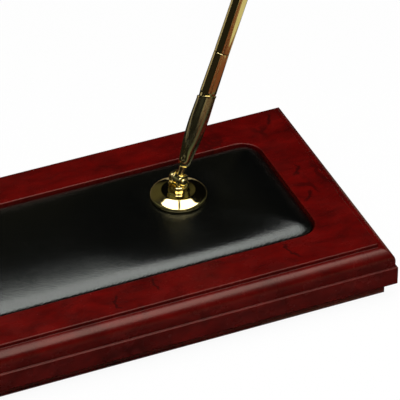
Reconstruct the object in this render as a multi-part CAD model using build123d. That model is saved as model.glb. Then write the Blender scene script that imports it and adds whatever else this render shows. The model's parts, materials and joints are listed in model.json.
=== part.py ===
"""Double pen stand: a moulded wooden base with a padded panel and two pens in swivelling holders.

Millimetres. +Z is up, +X runs along the length to the right, +Y to the back.
The origin is the centre of the underside.
"""

import math
import os

from build123d import *

# Overall size of the stand
stand_length = 355.6
stand_depth = 152.4
stand_height = 31.75

# Foot under the board
foot_inset = 5.37
board_bottom = 8.41
felt_thickness = 2.0
felt_proud = 0.4
felt_margin = 4.0

# Screws that hold the foot to the board
foot_screw_count = 3
foot_screw_edge = 21.0
foot_screw_spread = 280.0
foot_screw_shank_radius = 1.6
foot_screw_head_radius = 3.4
foot_screw_head_height = 2.2
foot_screw_length = 16.0

# Edge moulding, from the flat top outwards and down
flat_inset = 8.61
step_drop = 2.2
quirk_width = 1.0
round_radius = 6.3
ledge_height = 19.3
arris_radius = 0.35
ledge_radius = 0.55
corner_radius = 0.6

# Pocket in the board and the padded panel in it
pocket_inset = 31.0
pocket_corner_radius = 12.0
pocket_depth = 5.0
pocket_arris = 0.5
panel_gap = 0.35
panel_backing_thickness = 3.0
leather_thickness = 0.8
panel_crown = 2.3
panel_edge_drop = 0.7
panel_corner_share = 0.35
panel_clearance = 0.3

# Where each holder stands, and how far it presses into the leather
holder_from_end = 90.7
holder_behind_centre = 11.1
holder_press = 0.4

# Dome of the holder
dome_foot_radius = 15.0
dome_radius = 15.7
dome_wide_height = 2.0
dome_lip_narrowing = 1.7
dome_lip_height = 4.0
dome_shoulder_radius = 9.6
dome_shoulder_height = 5.6
dome_neck_radius = 5.0
dome_height = 7.2
dome_wall = 1.6
dome_boss_radius = 6.0
dome_roof = 2.6
running_clearance = 0.05

# Stem, nut and washer that clamp the holder to the board
stem_radius = 4.0
stem_bore_radius = 3.1
stem_hole_clearance = 0.3
stem_thread_length = 3.1
nut_across_flats = 12.0
nut_thickness = 4.0
nut_washer_radius = 8.0
nut_washer_thickness = 1.2
nut_pocket_radius = 9.5
nut_pocket_roof = 10.4
stem_end_proud = 0.8

# Swivel fork on the dome
pivot_height = 11.6
fork_collar_radius = 4.9
fork_collar_height = 1.0
fork_ear_radius = 3.8
fork_half_width = 3.9
fork_slot_half = 2.15
fork_spigot_radius = 2.45
fork_edge = 0.35

# Screw, washer and spring washer that hold the fork down
swivel_washer_radius = 3.6
swivel_washer_thickness = 0.5
swivel_spring_thickness = 0.7
swivel_screw_radius = 1.5
swivel_screw_length = 5.0
swivel_screw_head_radius = 2.8
swivel_screw_head_height = 1.5

# Tilt hinge
tilt_screw_radius = 1.0
tilt_head_radius = 2.2
tilt_head_height = 1.1
tilt_nut_radius = 2.7
tilt_nut_height = 1.7
tilt_washer_radius = 2.9
tilt_washer_thickness = 0.4

# Knuckle between the fork and the funnel
tongue_radius = 3.0
tongue_clearance = 0.05
knuckle_neck_radius = 1.7
knuckle_stub_radius = 1.5
knuckle_stub_length = 3.4
knuckle_shoulder_height = 0.8

# Funnel: distances are measured from the tilt hinge along the funnel's axis
funnel_start = 7.6
funnel_nose_radius = 2.0
funnel_waist_radius = 3.7
funnel_waist_height = 5.4
funnel_widest_radius = 5.18
funnel_widest_height = 24.0
funnel_shoulder_narrowing = 0.45
funnel_shoulder_drop = 9.0
funnel_mouth_height = 41.8
funnel_mouth_radius = 4.85
funnel_wall = 0.6
funnel_mouth_wall = 0.4
mouth_bore_depth = 12.0
funnel_floor = 3.9
mouth_slant = 18.0
rim_proud = 0.14
rim_width = 1.1
rim_arris = 0.15
slant_margin = 4.0
liner_start = 5.4
liner_end = 26.0
liner_clearance = 0.06

# Pen: distances are measured from its writing end
pen_start = 14.0
pen_length = 134.0
pen_tip_radius = 1.5
pen_cone_length = 24.0
pen_cone_radius = 3.75
pen_mouth_clearance = 0.03
pen_band_gap = 0.03
pen_band_chamfer = 1.0
pen_band_radius = 4.55
pen_joint_height = 60.8
pen_joint_radius = 4.2
pen_joint_groove = 0.25
pen_upper_radius = 4.2
pen_upper_middle = 100.0
pen_top_radius = 3.7
end_cap_height = 7.0
end_cap_tenon = 3.0
barrel_wall = 0.7
tip_bore_radius = 1.2
tip_bore_length = 3.0

# Inside the pen
connector_wall = 0.4
connector_below = 12.0
connector_above = 14.0
bore_step_length = 6.0
cam_tube_wall = 0.9
cam_tube_start = 4.0
cam_tube_length = 32.0
cam_flange_height = 4.0
carrier_height = 9.0
carrier_offset = 6.0
refill_radius = 1.5
refill_point_radius = 0.35
refill_point_length = 4.0
refill_neck_length = 4.0
refill_travel = 2.0
sliding_clearance = 0.1

# How the pens lean in the photo: from upright, and from straight outwards
lean_angle = 26.2
lean_direction = 22.0

# Places worked out from the sizes above
panel_top = stand_height + panel_crown
dome_base = panel_top - holder_press
pivot_z = dome_base + pivot_height
holder_x = stand_length / 2 - holder_from_end
pocket_floor = stand_height - pocket_depth
plinth_bottom = felt_proud
felt_pocket_roof = felt_thickness
backing_top = pocket_floor + panel_backing_thickness

# Heights measured from the tilt hinge, for everything in the holder
dome_base_local = -pivot_height
dome_top_local = dome_base_local + dome_height
dome_roof_local = dome_top_local - dome_roof
spring_bottom = dome_roof_local - swivel_spring_thickness
washer_bottom = spring_bottom - swivel_washer_thickness
collar_top = dome_top_local + running_clearance + fork_collar_height
stem_top_local = dome_base_local + stem_thread_length
nut_roof_local = nut_pocket_roof + board_bottom - pivot_z

# The pen just fills the funnel's mouth, and widens to its band right above the mouth's highest point
mouth_rise = funnel_mouth_radius * math.tan(math.radians(mouth_slant))
pen_mouth_radius = funnel_mouth_radius - funnel_mouth_wall - pen_mouth_clearance
pen_band_height = funnel_start + funnel_mouth_height + mouth_rise + pen_band_gap - pen_start

os.makedirs("parts", exist_ok=True)


def revolved(profile):
    """A solid of revolution about Z from (radius, height) corner points, closed on the axis side."""
    outline = Polyline([(r, 0, z) for r, z in profile], close=True)
    return revolve(make_face(outline), Axis.Z)


def tube(outer, inner, low, high):
    """A plain tube or, with no inner radius, a plain rod."""
    rod = Pos(0, 0, low) * Cylinder(outer, high - low, align=(Align.CENTER, Align.CENTER, Align.MIN))
    if inner <= 0:
        return rod
    hole = Pos(0, 0, low) * Cylinder(inner, high - low, align=(Align.CENTER, Align.CENTER, Align.MIN))
    return rod - hole


def cross_rod(radius, start, end):
    """A rod along Y through the hinge, from start to end."""
    length = end - start
    return Pos(0, (start + end) / 2, 0) * Rot(90, 0, 0) * Cylinder(radius, length)


def slab(length, depth, low, high):
    """A plain board, centred, between two heights."""
    return Pos(0, 0, low) * Box(length, depth, high - low, align=(Align.CENTER, Align.CENTER, Align.MIN))


def rounded_slab(length, depth, radius, low, high):
    """A board with rounded corners, centred, between two heights."""
    outline = Pos(0, 0, low) * RectangleRounded(length, depth, radius)
    return extrude(outline, high - low)


def moulded_section(half_width):
    """Half of the board's cross-section from its centre to a moulded edge, as a face in the XZ plane."""
    top = stand_height
    step = top - step_drop
    flat = half_width - flat_inset
    round_start = flat + quirk_width
    round_end = round_start + round_radius
    round_bottom = step - round_radius
    lines = [
        Line((0, board_bottom), (0, top)),
        Line((0, top), (flat, top)),
        Line((flat, top), (flat, step)),
        Line((flat, step), (round_start, step)),
        JernArc((round_start, step), (1, 0), round_radius, -90),
        Line((round_end, round_bottom), (round_end, ledge_height)),
        Line((round_end, ledge_height), (half_width, ledge_height)),
        Line((half_width, ledge_height), (half_width, board_bottom)),
        Line((half_width, board_bottom), (0, board_bottom)),
    ]
    half = make_face(Wire(Curve() + lines))
    arris = half.vertices().filter_by(lambda v: abs(v.X - flat) < 1e-3 and abs(v.Y - top) < 1e-3)
    half = fillet(arris, arris_radius)
    edge = half.vertices().filter_by(
        lambda v: abs(v.X - half_width) < 1e-3 and v.Y > board_bottom + 1
    )
    half = fillet(edge, ledge_radius)
    foot = half.vertices().filter_by(
        lambda v: abs(v.X - half_width) < 1e-3 and abs(v.Y - board_bottom) < 1e-3
    )
    return fillet(foot, ledge_radius)


def moulded_bar(half_width, length, turn):
    """The moulded section run along the board: across X when turn is 0, across Y when it is 90."""
    half = moulded_section(half_width)
    face = half + mirror(half, about=Plane.YZ)
    bar = extrude(Plane.XZ * face, length / 2, both=True)
    return Rot(0, 0, turn) * bar


def foot_screw_places():
    """Where the foot's screws stand."""
    across = stand_depth / 2 - foot_screw_edge
    pitch = foot_screw_spread / (foot_screw_count - 1)
    return [
        (-foot_screw_spread / 2 + i * pitch, side * across)
        for i in range(foot_screw_count)
        for side in (-1, 1)
    ]


def foot_screw():
    """One countersunk wood screw, head down, its head on the felt pocket's roof."""
    low = felt_pocket_roof
    cone = low + foot_screw_head_height
    shank_top = low + foot_screw_length
    point = shank_top + 2 * foot_screw_shank_radius
    profile = [
        (0, low),
        (foot_screw_head_radius, low),
        (foot_screw_shank_radius, cone),
        (foot_screw_shank_radius, shank_top),
        (0, point),
    ]
    return revolved(profile)


def pad_solid(inset, drop):
    """The panel's padded form, drawn in at its sides and crowned, shrunk by inset and lowered by drop."""
    length = stand_length - 2 * (pocket_inset + panel_gap + inset)
    depth = stand_depth - 2 * (pocket_inset + panel_gap + inset)
    radius = pocket_corner_radius - panel_gap - inset
    edge = stand_height - panel_edge_drop - drop
    crown = stand_height + panel_crown - drop
    rise = crown - edge
    steps = [(0, 0), (0.8, 0.3), (3.0, 0.56), (8.0, 0.78), (16.0, 0.94), (26.0, 1.0)]
    sections = []
    for draw_in, share in steps:
        corner = max(radius - panel_corner_share * draw_in, radius / 3)
        outline = RectangleRounded(length - 2 * draw_in, depth - 2 * draw_in, corner)
        sections.append(Pos(0, 0, edge + rise * share) * outline)
    side = rounded_slab(length, depth, radius, pocket_floor, edge)
    return side + loft(sections, ruled=True)


def at_holders(piece):
    """One copy of a piece at each holder's place, the left one mirrored."""
    right = Pos(holder_x, holder_behind_centre, 0) * piece
    return right + mirror(right, about=Plane.YZ)


def make_base():
    """The board, its foot, screws, felt and padded panel."""
    pocket_length = stand_length - 2 * pocket_inset
    pocket_width = stand_depth - 2 * pocket_inset
    board = moulded_bar(stand_length / 2, stand_depth, 0) & moulded_bar(stand_depth / 2, stand_length, 90)
    outline = rounded_slab(stand_length, stand_depth, corner_radius, board_bottom, stand_height)
    board = board & outline
    pocket = rounded_slab(pocket_length, pocket_width, pocket_corner_radius, pocket_floor, stand_height)
    board = board - pocket
    mouth = [
        e
        for e in board.edges()
        if abs(e.center().Z - stand_height) < 1e-3
        and abs(e.center().X) <= pocket_length / 2 + 1e-3
        and abs(e.center().Y) <= pocket_width / 2 + 1e-3
    ]
    board = fillet(mouth, pocket_arris)
    stem_hole = stem_radius + stem_hole_clearance
    board = board - at_holders(tube(stem_hole, 0, board_bottom, stand_height))
    board = board - at_holders(tube(nut_pocket_radius, 0, board_bottom, board_bottom + nut_pocket_roof))

    foot_length = stand_length - 2 * foot_inset
    foot_depth = stand_depth - 2 * foot_inset
    felt_length = foot_length - 2 * felt_margin
    felt_depth = foot_depth - 2 * felt_margin
    plinth = slab(foot_length, foot_depth, plinth_bottom, board_bottom)
    plinth = plinth - slab(felt_length, felt_depth, plinth_bottom, felt_pocket_roof)
    felt = slab(felt_length, felt_depth, 0, felt_thickness)

    screws = [Pos(x, y, 0) * foot_screw() for x, y in foot_screw_places()]
    for screw in screws:
        plinth = plinth - screw
        board = board - screw

    outer = pad_solid(0, 0)
    inner = pad_solid(leather_thickness, leather_thickness)
    seat = at_holders(tube(dome_radius + panel_clearance, 0, dome_base, panel_top + 1))
    hole = at_holders(tube(stem_hole, 0, pocket_floor, panel_top + 1))
    leather = outer - inner - seat - hole
    below = slab(stand_length, stand_depth, pocket_floor, backing_top)
    above = slab(stand_length, stand_depth, backing_top, panel_top + 1)
    backing = (inner & below) - hole
    foam = (inner & above) - hole
    return {
        "base_board": board,
        "plinth": plinth,
        "plinth_screws": Compound(children=[s.solid() for s in screws]),
        "felt_pad": felt,
        "panel_backing": backing,
        "panel_foam": foam,
        "panel_leather": leather,
    }


def dome():
    """The turned dome: a rounded lip that sweeps up in an ogee to a flat neck, hollow underneath."""
    base = dome_base_local
    lip = Spline(
        (dome_foot_radius, base),
        (dome_radius, base + dome_wide_height),
        (dome_radius - dome_lip_narrowing, base + dome_lip_height),
        (dome_shoulder_radius, base + dome_shoulder_height),
        (dome_neck_radius, dome_top_local),
        tangents=[(0.5, 1), (-1.1, 1)],
    )
    outline = [
        lip,
        Line((dome_neck_radius, dome_top_local), (0, dome_top_local)),
        Line((0, dome_top_local), (0, base)),
        Line((0, base), (dome_foot_radius, base)),
    ]
    turned = revolve(Plane.XZ * make_face(Wire(Curve() + outline)), Axis.Z)
    hollow_rim = dome_radius - 2 * dome_wall
    hollow_roof = base + dome_wide_height
    shoulder_roof = base + dome_shoulder_height - dome_wall
    hollow = revolved(
        [
            (dome_boss_radius, base),
            (hollow_rim, base),
            (hollow_rim, hollow_roof),
            (dome_shoulder_radius, shoulder_roof),
            (dome_boss_radius, shoulder_roof),
        ]
    )
    body = turned - hollow
    body = body - tube(stem_radius, 0, base, dome_roof_local)
    return body - tube(fork_spigot_radius + running_clearance, 0, base, dome_top_local)


def hex_nut():
    """The nut under the board."""
    washer_low = nut_roof_local - nut_washer_thickness
    low = washer_low - nut_thickness
    outline = Pos(0, 0, low) * RegularPolygon(nut_across_flats / 2, 6, major_radius=False)
    return extrude(outline, nut_thickness) - tube(stem_radius, 0, low, washer_low)


def make_clamp():
    """The dome and what holds it to the board."""
    washer_low = nut_roof_local - nut_washer_thickness
    washer_bore = stem_radius + running_clearance
    stem_low = washer_low - nut_thickness - stem_end_proud
    return {
        "holder_dome": dome(),
        "holder_stem": tube(stem_radius, stem_bore_radius, stem_low, stem_top_local),
        "holder_washer": tube(nut_washer_radius, washer_bore, washer_low, nut_roof_local),
        "holder_nut": hex_nut(),
    }


def fork():
    """The slotted post with two round ears, and the spigot that turns in the dome."""
    foot = dome_top_local + running_clearance
    collar = tube(fork_collar_radius, 0, foot, collar_top)
    top_edge = collar.edges().filter_by(GeomType.CIRCLE).sort_by(Axis.Z)[-1]
    collar = fillet(top_edge, fork_edge)
    ears = cross_rod(fork_ear_radius, -fork_half_width, fork_half_width)
    post = slab(2 * fork_ear_radius, 2 * fork_half_width, foot, 0)
    post = post & tube(fork_collar_radius, 0, foot, 0)
    blank = ears + post
    rims = blank.edges().filter_by(GeomType.CIRCLE).filter_by(
        lambda e: abs(e.radius - fork_ear_radius) < 1e-3
    )
    blank = fillet(rims, fork_edge)
    slot_height = fork_ear_radius - collar_top
    slot = Pos(0, 0, collar_top) * Box(
        4 * fork_ear_radius,
        2 * fork_slot_half,
        slot_height + 1,
        align=(Align.CENTER, Align.CENTER, Align.MIN),
    )
    pin_hole = cross_rod(tilt_screw_radius, -fork_half_width, fork_half_width)
    spigot = tube(fork_spigot_radius, 0, washer_bottom, foot)
    body = blank - slot - pin_hole + collar + spigot
    return body - tube(swivel_screw_radius, 0, washer_bottom, washer_bottom + swivel_screw_length)


def domed_disc(radius, height, bore):
    """A button of the given height, rounded over on its top, on the XY plane."""
    blank = tube(radius, 0, 0, height)
    rim = blank.edges().filter_by(GeomType.CIRCLE).sort_by(Axis.Z)[-1]
    blank = fillet(rim, 0.8 * height)
    if bore <= 0:
        return blank
    return blank - tube(bore, 0, 0, height / 2)


def swivel_screw():
    """The screw that holds the fork down: its head is inside the stem."""
    head = tube(swivel_screw_head_radius, 0, washer_bottom - swivel_screw_head_height, washer_bottom)
    return head + tube(swivel_screw_radius, 0, washer_bottom, washer_bottom + swivel_screw_length)


def make_swivel():
    """The fork with its screws and washers."""
    spigot_hole = fork_spigot_radius + running_clearance
    head = Pos(0, -fork_half_width, 0) * Rot(90, 0, 0) * domed_disc(tilt_head_radius, tilt_head_height, 0)
    nut = domed_disc(tilt_nut_radius, tilt_nut_height, tilt_screw_radius)
    nut = Pos(0, fork_half_width, 0) * Rot(-90, 0, 0) * nut
    screw = head + cross_rod(tilt_screw_radius, -fork_half_width, fork_half_width + tilt_nut_height / 2)
    washers = []
    for side in (-1, 1):
        outer = side * fork_slot_half
        inner = side * (fork_slot_half - tilt_washer_thickness)
        low, high = min(outer, inner), max(outer, inner)
        washers.append(cross_rod(tilt_washer_radius, low, high) - cross_rod(tilt_screw_radius, low, high))
    return {
        "swivel_fork": fork(),
        "swivel_screw": swivel_screw(),
        "swivel_washer": tube(swivel_washer_radius, spigot_hole, washer_bottom, spring_bottom),
        "swivel_spring": tube(swivel_washer_radius, spigot_hole, spring_bottom, dome_roof_local),
        "tilt_screw": screw,
        "tilt_nut": nut,
        "tilt_washers": Compound(children=[w.solid() for w in washers]),
    }


def funnel_outline(offset):
    """The funnel's bullet shape as a curve of (radius, height) points, moved inwards by offset."""
    start = funnel_start
    return Spline(
        (funnel_nose_radius - offset, start),
        (funnel_waist_radius - offset, start + funnel_waist_height),
        (
            funnel_widest_radius - funnel_shoulder_narrowing - offset,
            start + funnel_widest_height - funnel_shoulder_drop,
        ),
        (funnel_widest_radius - offset, start + funnel_widest_height),
        (funnel_mouth_radius - offset, start + funnel_mouth_height),
        tangents=[(1, 0.7), (-0.03, 1)],
    )


def bullet(offset, top):
    """The funnel's outer shape, shrunk by offset and carried on straight to a height above its mouth."""
    start = funnel_start
    mouth = start + funnel_mouth_height
    curve = funnel_outline(offset)
    outline = [
        curve,
        Line((funnel_mouth_radius - offset, mouth), (funnel_mouth_radius - offset, top)),
        Line((funnel_mouth_radius - offset, top), (0, top)),
        Line((0, top), (0, start)),
        Line((0, start), (funnel_nose_radius - offset, start)),
    ]
    return revolve(Plane.XZ * make_face(Wire(Curve() + outline)), Axis.Z)


def below_slant(height):
    """Everything below the funnel's slanted mouth, moved up or down to a height on the axis."""
    reach = 60.0
    block = Box(reach, reach, reach, align=(Align.CENTER, Align.CENTER, Align.MAX))
    return Pos(0, 0, height) * Rot(-mouth_slant, 0, 0) * block


def pen_radius(height):
    """The pen's outer radius at a height above its writing end, up to the joint."""
    if height <= pen_cone_length:
        share = height / pen_cone_length
        return pen_tip_radius + (pen_cone_radius - pen_tip_radius) * share
    if height <= pen_band_height:
        share = (height - pen_cone_length) / (pen_band_height - pen_cone_length)
        return pen_cone_radius + (pen_mouth_radius - pen_cone_radius) * share
    share = (height - pen_band_height) / (pen_joint_height - pen_band_height)
    return pen_band_radius + (pen_joint_radius - pen_band_radius) * share


def liner():
    """The plastic liner between the funnel and the pen's cone."""
    low = funnel_start + liner_start
    high = funnel_start + liner_end
    outside = bullet(funnel_wall, high) & tube(funnel_widest_radius, 0, low, high)
    cone = pen_start + pen_cone_length
    inside = revolved(
        [
            (0, low - 1),
            (pen_radius(0) + liner_clearance, low - 1),
            (pen_radius(0) + liner_clearance, pen_start),
            (pen_cone_radius + liner_clearance, cone),
            (0, cone),
        ]
    )
    return outside - inside


def make_funnel():
    """The funnel, its rim, its liner and the knuckle that it is screwed on."""
    mouth = funnel_start + funnel_mouth_height
    top = mouth + slant_margin
    floor = funnel_start + funnel_floor
    shell = bullet(0, top) & below_slant(mouth - rim_width)
    rim_blank = bullet(-rim_proud, top) & below_slant(mouth)
    rim_blank = rim_blank - below_slant(mouth - rim_width)
    hollow = bullet(funnel_wall, top) - tube(funnel_widest_radius, 0, 0, floor)
    mouth_bore = tube(funnel_mouth_radius - funnel_mouth_wall, 0, mouth - mouth_bore_depth, top)
    hollow = hollow + mouth_bore
    stub_top = funnel_start + knuckle_stub_length
    shell = shell - hollow - tube(knuckle_stub_radius, 0, funnel_start, stub_top)
    rim = rim_blank - hollow
    rim = fillet(rim.edges().sort_by(Axis.Z)[-1:], rim_arris)
    tongue_half = fork_slot_half - tilt_washer_thickness - tongue_clearance
    tongue = cross_rod(tongue_radius, -tongue_half, tongue_half)
    neck = tube(knuckle_neck_radius, 0, 0, funnel_start)
    neck = neck & Box(2 * funnel_nose_radius, 2 * tongue_half, 4 * funnel_start)
    shoulder = tube(funnel_nose_radius, 0, funnel_start - knuckle_shoulder_height, funnel_start)
    stub = tube(knuckle_stub_radius, 0, funnel_start, stub_top)
    knuckle = tongue + neck + shoulder + stub
    knuckle = knuckle - cross_rod(tilt_screw_radius + running_clearance, -tongue_half, tongue_half)
    return {"funnel_knuckle": knuckle, "funnel": shell, "funnel_rim": rim, "funnel_liner": liner()}


def make_pen():
    """The pen's two halves and what is in them, standing on the writing end."""
    joint = pen_start + pen_joint_height
    band = pen_start + pen_band_height
    cone = pen_start + pen_cone_length
    connector_low = joint - connector_below
    connector_high = joint + connector_above
    upper_bore = pen_upper_radius - barrel_wall
    connector_radius = upper_bore - running_clearance
    lower_bore = tip_bore_radius + sliding_clearance
    lower = revolved(
        [
            (tip_bore_radius, pen_start),
            (pen_tip_radius, pen_start),
            (pen_cone_radius, cone),
            (pen_mouth_radius, band),
            (pen_band_radius, band + pen_band_chamfer),
            (pen_joint_radius, joint - pen_joint_groove),
            (pen_joint_radius - pen_joint_groove, joint),
            (connector_radius, joint),
            (connector_radius, connector_low),
            (pen_cone_radius - barrel_wall, connector_low - bore_step_length),
            (refill_radius + sliding_clearance, cone - bore_step_length),
            (lower_bore, pen_start + tip_bore_length),
            (tip_bore_radius, pen_start + tip_bore_length),
        ]
    )
    connector_bore = connector_radius - connector_wall
    connector = tube(connector_radius, connector_bore, connector_low, connector_high)
    upper_low = joint + running_clearance
    upper_top = pen_start + pen_length - end_cap_height
    upper_middle = pen_start + pen_upper_middle
    upper = revolved(
        [
            (upper_bore, upper_low),
            (pen_upper_radius - pen_joint_groove, upper_low),
            (pen_upper_radius, upper_low + pen_joint_groove),
            (pen_upper_radius, upper_middle),
            (pen_top_radius, upper_top),
            (pen_top_radius - barrel_wall, upper_top),
            (pen_top_radius - barrel_wall, upper_top - end_cap_tenon),
            (upper_bore, upper_middle),
        ]
    )
    cap_blank = tube(pen_top_radius, 0, upper_top, upper_top + end_cap_height)
    cap_edge = cap_blank.edges().filter_by(GeomType.CIRCLE).sort_by(Axis.Z)[-1]
    cap = fillet(cap_edge, 0.9 * pen_top_radius)
    cap = cap + tube(pen_top_radius - barrel_wall, 0, upper_top - end_cap_tenon, upper_top)
    cam_radius = connector_bore - sliding_clearance
    cam_bore = cam_radius - cam_tube_wall
    cam_low = joint + cam_tube_start
    cam_high = cam_low + cam_tube_length
    cam = tube(cam_radius, cam_bore, cam_low, cam_high)
    cam = cam + tube(upper_bore, cam_bore, cam_high - cam_flange_height, cam_high)
    carrier_low = cam_low + carrier_offset
    carrier_high = carrier_low + carrier_height
    carrier_radius = cam_bore - sliding_clearance
    carrier = tube(carrier_radius, 0, carrier_low, carrier_high)
    point = pen_start + refill_travel / 2
    point_top = point + refill_point_length
    neck_radius = tip_bore_radius - sliding_clearance
    refill = revolved(
        [
            (0, point),
            (refill_point_radius, point),
            (neck_radius, point_top),
            (neck_radius, point_top + refill_travel / 2 + refill_neck_length),
            (refill_radius, cone),
            (refill_radius, carrier_low),
            (0, carrier_low),
        ]
    )
    return {
        "pen_lower_barrel": lower,
        "pen_connector": connector,
        "pen_upper_barrel": upper,
        "pen_end_cap": cap,
        "pen_cam_tube": cam,
        "pen_refill_carrier": carrier,
        "pen_refill": refill,
    }


def save(name, shape):
    """Writes one node."""
    export_step(shape, "parts/" + name + ".step")


def save_both(name, shape):
    """Writes a piece of the right side and its mirrored fellow of the left side."""
    save("right_" + name, shape)
    save("left_" + name, mirror(shape, about=Plane.YZ))


for name, shape in make_base().items():
    save(name, shape)

hinge = Pos(holder_x, holder_behind_centre, pivot_z)
turned = hinge * Rot(0, 0, lean_direction)
leaning = turned * Rot(0, lean_angle, 0)

for name, shape in make_clamp().items():
    save_both(name, hinge * shape)

for name, shape in make_swivel().items():
    save_both(name, turned * shape)

for name, shape in {**make_funnel(), **make_pen()}.items():
    save_both(name, leaning * shape)

lean = math.radians(lean_angle)
direction = math.radians(lean_direction)
print("hinge", round(holder_x, 4), round(holder_behind_centre, 4), round(pivot_z, 4))
outwards = math.sin(lean)
print("pen axis", outwards * math.cos(direction), outwards * math.sin(direction), math.cos(lean))
print("tilt axis", -math.sin(direction), math.cos(direction), 0)
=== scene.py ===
# %% [markdown]
# # A double pen stand
# A moulded wooden base, a padded black leather panel let into its top, and two gold pens in swivelling
# funnel holders. The CAD model is the fixed frame: every piece here sits where that model says, in metres.

# %% Load the frame
import json
import math

import bpy
from mathutils import Matrix, Vector


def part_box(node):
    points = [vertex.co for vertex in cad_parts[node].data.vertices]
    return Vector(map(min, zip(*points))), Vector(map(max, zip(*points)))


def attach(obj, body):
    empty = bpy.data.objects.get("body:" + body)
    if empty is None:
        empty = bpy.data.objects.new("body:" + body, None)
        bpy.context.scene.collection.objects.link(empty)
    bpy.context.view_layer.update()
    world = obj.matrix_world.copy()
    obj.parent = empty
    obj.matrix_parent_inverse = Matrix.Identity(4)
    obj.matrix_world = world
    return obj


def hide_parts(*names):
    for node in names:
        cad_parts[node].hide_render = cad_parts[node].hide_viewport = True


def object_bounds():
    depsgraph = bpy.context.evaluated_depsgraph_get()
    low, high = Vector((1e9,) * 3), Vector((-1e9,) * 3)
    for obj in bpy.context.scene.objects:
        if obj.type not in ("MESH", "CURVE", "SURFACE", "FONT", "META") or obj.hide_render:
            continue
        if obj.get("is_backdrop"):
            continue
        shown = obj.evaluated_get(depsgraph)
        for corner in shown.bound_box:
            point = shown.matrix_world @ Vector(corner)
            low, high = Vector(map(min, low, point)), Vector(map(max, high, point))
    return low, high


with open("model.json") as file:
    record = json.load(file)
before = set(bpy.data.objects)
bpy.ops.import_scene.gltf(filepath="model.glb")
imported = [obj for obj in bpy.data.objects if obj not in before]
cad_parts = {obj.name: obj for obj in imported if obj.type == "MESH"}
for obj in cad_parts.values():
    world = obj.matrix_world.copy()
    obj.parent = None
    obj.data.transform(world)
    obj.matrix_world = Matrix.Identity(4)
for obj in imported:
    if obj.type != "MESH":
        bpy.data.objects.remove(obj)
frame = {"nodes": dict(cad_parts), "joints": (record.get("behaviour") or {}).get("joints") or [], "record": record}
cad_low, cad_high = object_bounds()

SIDES = ("right", "left")
MM = 0.001
print("CAD box:", [round(v, 4) for v in (*cad_low, *cad_high)])

# %% [markdown]
# ## The camera
# A long lens from the front left, 37 degrees above the desk. The place and lens were worked out from the
# straight edges of the base, so that the same edges fall on the same lines.

# %% Camera
camera_place = Vector((-0.49598, -1.37199, 1.16147))
camera_right = Vector((0.9184, -0.3956, 0.0)).normalized()
camera_forward = Vector((0.3160, 0.7337, -0.6016)).normalized()
camera_up = camera_right.cross(camera_forward).normalized()
lens_data = bpy.data.cameras.new("camera")
lens_data.lens = 311.47
lens_data.sensor_width = 36.0
camera = bpy.data.objects.new("camera", lens_data)
bpy.context.scene.collection.objects.link(camera)
turn = Matrix((camera_right, camera_up, -camera_forward)).transposed().to_4x4()
camera.matrix_world = Matrix.Translation(camera_place) @ turn
bpy.context.scene.camera = camera
bpy.context.scene.view_settings.view_transform = "Standard"
print("camera is", round(camera_place.length, 3), "m away")

# %% [markdown]
# ## Small helpers for nodes
# A material is a handful of nodes joined by links. These helpers only save typing: `place` adds a node and
# sets or links its inputs by name.


# %% Node helpers
def place(tree, kind, settings=None, **inputs):
    """Adds a node, sets its settings, and sets or links its inputs.

    An input is named, with _ for spaces, or numbered from i0. A hidden one answers only to its number.
    """
    node = tree.nodes.new(kind)
    for key, value in (settings or {}).items():
        setattr(node, key, value)
    for key, value in inputs.items():
        wanted = key.replace("_", " ")
        spot = int(key[1:]) if key[0] == "i" and key[1:].isdigit() else wanted
        socket = node.inputs[spot]
        if isinstance(value, bpy.types.NodeSocket):
            tree.links.new(value, socket)
        else:
            socket.default_value = value
    return node


def maths(tree, operation, a, b=0.0):
    """One Math node's result."""
    return place(tree, "ShaderNodeMath", {"operation": operation}, i0=a, i1=b).outputs[0]


def vector_maths(tree, operation, a, b=(0.0, 0.0, 0.0), scale=1.0):
    """One Vector Math node's result: a number for a distance or a dot product, otherwise a vector."""
    node = place(tree, "ShaderNodeVectorMath", {"operation": operation}, i0=a, i1=b, i3=scale)
    return node.outputs["Value" if operation in ("DISTANCE", "DOT_PRODUCT") else "Vector"]


def remap(tree, value, low, high, to_low=0.0, to_high=1.0, smooth=False):
    """Maps low..high to to_low..to_high, clamped."""
    kind = "SMOOTHSTEP" if smooth else "LINEAR"
    node = place(
        tree,
        "ShaderNodeMapRange",
        {"interpolation_type": kind},
        i0=value,
        i1=low,
        i2=high,
        i3=to_low,
        i4=to_high,
    )
    return node.outputs[0]


def blend_colours(tree, share, first, second, mode="MIX"):
    """One colour into another by a share from 0 to 1."""
    settings = {"data_type": "RGBA", "blend_type": mode}
    node = place(tree, "ShaderNodeMix", settings, i0=share, i6=first, i7=second)
    return node.outputs[2]


def stretch(tree, vector, scale, shift=(0.0, 0.0, 0.0), turn=(0.0, 0.0, 0.0)):
    """A Mapping node."""
    node = place(tree, "ShaderNodeMapping", Vector=vector, Scale=scale, Location=shift, Rotation=turn)
    return node.outputs[0]


def noise(tree, vector, scale, detail=2.0, roughness=0.5, distortion=0.0):
    """A Noise texture's value, from 0 to 1."""
    node = place(
        tree,
        "ShaderNodeTexNoise",
        Vector=vector,
        Scale=scale,
        Detail=detail,
        Roughness=roughness,
        Distortion=distortion,
    )
    return node.outputs[0]


def new_material(name):
    """A material with its Principled shader, its tree and its Object coordinates."""
    made = bpy.data.materials.new(name)
    made.use_nodes = True
    tree = made.node_tree
    shader = tree.nodes["Principled BSDF"]
    where = place(tree, "ShaderNodeTexCoord").outputs["Object"]
    return made, tree, shader, where


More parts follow.
